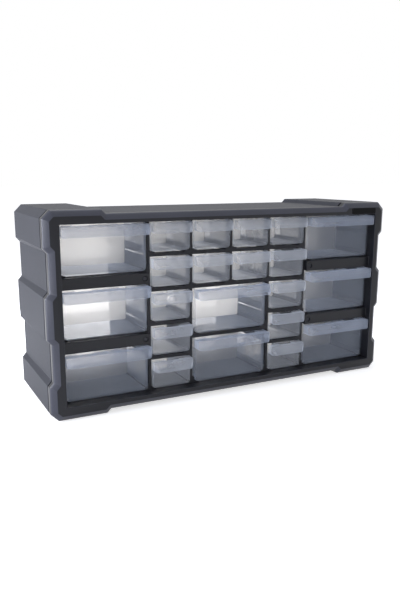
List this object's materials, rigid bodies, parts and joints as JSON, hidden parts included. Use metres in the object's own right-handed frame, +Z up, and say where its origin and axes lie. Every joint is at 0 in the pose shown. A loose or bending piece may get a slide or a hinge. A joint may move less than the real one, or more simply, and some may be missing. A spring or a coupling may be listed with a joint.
{
  "type": "parts bin cabinet",
  "caption": "Bench or wall cabinet of small translucent slide-out drawers in a stepped dark plastic shell with a bevelled front frame",
  "frame": {"origin": "under the middle of the whole object, on the surface that the feet stand on", "axes": "+Z up, +X to the right of someone facing the drawers, drawers open towards -Y"},
  "size_m": [0.495, 0.158, 0.249],
  "materials": {
    "cabinet_plastic": "fine moulded texture, dark grey",
    "grid_plastic": "fine moulded texture, near black",
    "drawer_polypropylene": "translucent natural polypropylene, smooth and milky",
    "badge_plastic": "glossy black, bare",
    "screw_steel": "blackened steel"
  },
  "bodies": {
    "cabinet": {"front_frame": "cabinet_plastic", "housing": "cabinet_plastic", "drawer_grid": "grid_plastic", "frame_screws": "screw_steel", "badge_plate": "badge_plastic"},
    "small_drawer_r1c1": {"small_drawer_r1c1": "drawer_polypropylene", "small_divider_r1c1": "drawer_polypropylene"},
    "small_drawer_r1c2": {"small_drawer_r1c2": "drawer_polypropylene", "small_divider_r1c2": "drawer_polypropylene"},
    "small_drawer_r1c3": {"small_drawer_r1c3": "drawer_polypropylene", "small_divider_r1c3": "drawer_polypropylene"},
    "small_drawer_r1c4": {"small_drawer_r1c4": "drawer_polypropylene", "small_divider_r1c4": "drawer_polypropylene"},
    "small_drawer_r2c1": {"small_drawer_r2c1": "drawer_polypropylene", "small_divider_r2c1": "drawer_polypropylene"},
    "small_drawer_r2c2": {"small_drawer_r2c2": "drawer_polypropylene", "small_divider_r2c2": "drawer_polypropylene"},
    "small_drawer_r2c3": {"small_drawer_r2c3": "drawer_polypropylene", "small_divider_r2c3": "drawer_polypropylene"},
    "small_drawer_r2c4": {"small_drawer_r2c4": "drawer_polypropylene", "small_divider_r2c4": "drawer_polypropylene"},
    "small_drawer_r3c1": {"small_drawer_r3c1": "drawer_polypropylene", "small_divider_r3c1": "drawer_polypropylene"},
    "small_drawer_r3c4": {"small_drawer_r3c4": "drawer_polypropylene", "small_divider_r3c4": "drawer_polypropylene"},
    "small_drawer_r4c1": {"small_drawer_r4c1": "drawer_polypropylene", "small_divider_r4c1": "drawer_polypropylene"},
    "small_drawer_r4c4": {"small_drawer_r4c4": "drawer_polypropylene", "small_divider_r4c4": "drawer_polypropylene"},
    "small_drawer_r5c1": {"small_drawer_r5c1": "drawer_polypropylene", "small_divider_r5c1": "drawer_polypropylene"},
    "small_drawer_r5c4": {"small_drawer_r5c4": "drawer_polypropylene", "small_divider_r5c4": "drawer_polypropylene"},
    "large_drawer_left_1": {"large_drawer_left_1": "drawer_polypropylene", "large_divider_left_1": "drawer_polypropylene"},
    "large_drawer_left_2": {"large_drawer_left_2": "drawer_polypropylene", "large_divider_left_2": "drawer_polypropylene"},
    "large_drawer_left_3": {"large_drawer_left_3": "drawer_polypropylene", "large_divider_left_3": "drawer_polypropylene"},
    "large_drawer_right_1": {"large_drawer_right_1": "drawer_polypropylene", "large_divider_right_1": "drawer_polypropylene"},
    "large_drawer_right_2": {"large_drawer_right_2": "drawer_polypropylene", "large_divider_right_2": "drawer_polypropylene"},
    "large_drawer_right_3": {"large_drawer_right_3": "drawer_polypropylene", "large_divider_right_3": "drawer_polypropylene"},
    "large_drawer_centre_1": {"large_drawer_centre_1": "drawer_polypropylene", "large_divider_centre_1": "drawer_polypropylene"},
    "large_drawer_centre_2": {"large_drawer_centre_2": "drawer_polypropylene", "large_divider_centre_2": "drawer_polypropylene"}
  },
  "joints": [
    {"name": "small_slide_r1c1", "type": "slide", "parent": "cabinet", "child": "small_drawer_r1c1", "axis": [0, -1, 0], "range_m": [0, 0.1233]},
    {"name": "small_slide_r1c2", "type": "slide", "parent": "cabinet", "child": "small_drawer_r1c2", "axis": [0, -1, 0], "range_m": [0, 0.1233]},
    {"name": "small_slide_r1c3", "type": "slide", "parent": "cabinet", "child": "small_drawer_r1c3", "axis": [0, -1, 0], "range_m": [0, 0.1233]},
    {"name": "small_slide_r1c4", "type": "slide", "parent": "cabinet", "child": "small_drawer_r1c4", "axis": [0, -1, 0], "range_m": [0, 0.1233]},
    {"name": "small_slide_r2c1", "type": "slide", "parent": "cabinet", "child": "small_drawer_r2c1", "axis": [0, -1, 0], "range_m": [0, 0.1233]},
    {"name": "small_slide_r2c2", "type": "slide", "parent": "cabinet", "child": "small_drawer_r2c2", "axis": [0, -1, 0], "range_m": [0, 0.1233]},
    {"name": "small_slide_r2c3", "type": "slide", "parent": "cabinet", "child": "small_drawer_r2c3", "axis": [0, -1, 0], "range_m": [0, 0.1233]},
    {"name": "small_slide_r2c4", "type": "slide", "parent": "cabinet", "child": "small_drawer_r2c4", "axis": [0, -1, 0], "range_m": [0, 0.1233]},
    {"name": "small_slide_r3c1", "type": "slide", "parent": "cabinet", "child": "small_drawer_r3c1", "axis": [0, -1, 0], "range_m": [0, 0.1233]},
    {"name": "small_slide_r3c4", "type": "slide", "parent": "cabinet", "child": "small_drawer_r3c4", "axis": [0, -1, 0], "range_m": [0, 0.1233]},
    {"name": "small_slide_r4c1", "type": "slide", "parent": "cabinet", "child": "small_drawer_r4c1", "axis": [0, -1, 0], "range_m": [0, 0.1233]},
    {"name": "small_slide_r4c4", "type": "slide", "parent": "cabinet", "child": "small_drawer_r4c4", "axis": [0, -1, 0], "range_m": [0, 0.1233]},
    {"name": "small_slide_r5c1", "type": "slide", "parent": "cabinet", "child": "small_drawer_r5c1", "axis": [0, -1, 0], "range_m": [0, 0.1233]},
    {"name": "small_slide_r5c4", "type": "slide", "parent": "cabinet", "child": "small_drawer_r5c4", "axis": [0, -1, 0], "range_m": [0, 0.1233]},
    {"name": "large_slide_left_1", "type": "slide", "parent": "cabinet", "child": "large_drawer_left_1", "axis": [0, -1, 0], "range_m": [0, 0.1233]},
    {"name": "large_slide_left_2", "type": "slide", "parent": "cabinet", "child": "large_drawer_left_2", "axis": [0, -1, 0], "range_m": [0, 0.1233]},
    {"name": "large_slide_left_3", "type": "slide", "parent": "cabinet", "child": "large_drawer_left_3", "axis": [0, -1, 0], "range_m": [0, 0.1233]},
    {"name": "large_slide_right_1", "type": "slide", "parent": "cabinet", "child": "large_drawer_right_1", "axis": [0, -1, 0], "range_m": [0, 0.1233]},
    {"name": "large_slide_right_2", "type": "slide", "parent": "cabinet", "child": "large_drawer_right_2", "axis": [0, -1, 0], "range_m": [0, 0.1233]},
    {"name": "large_slide_right_3", "type": "slide", "parent": "cabinet", "child": "large_drawer_right_3", "axis": [0, -1, 0], "range_m": [0, 0.1233]},
    {"name": "large_slide_centre_1", "type": "slide", "parent": "cabinet", "child": "large_drawer_centre_1", "axis": [0, -1, 0], "range_m": [0, 0.1233]},
    {"name": "large_slide_centre_2", "type": "slide", "parent": "cabinet", "child": "large_drawer_centre_2", "axis": [0, -1, 0], "range_m": [0, 0.1233]}
  ]
}
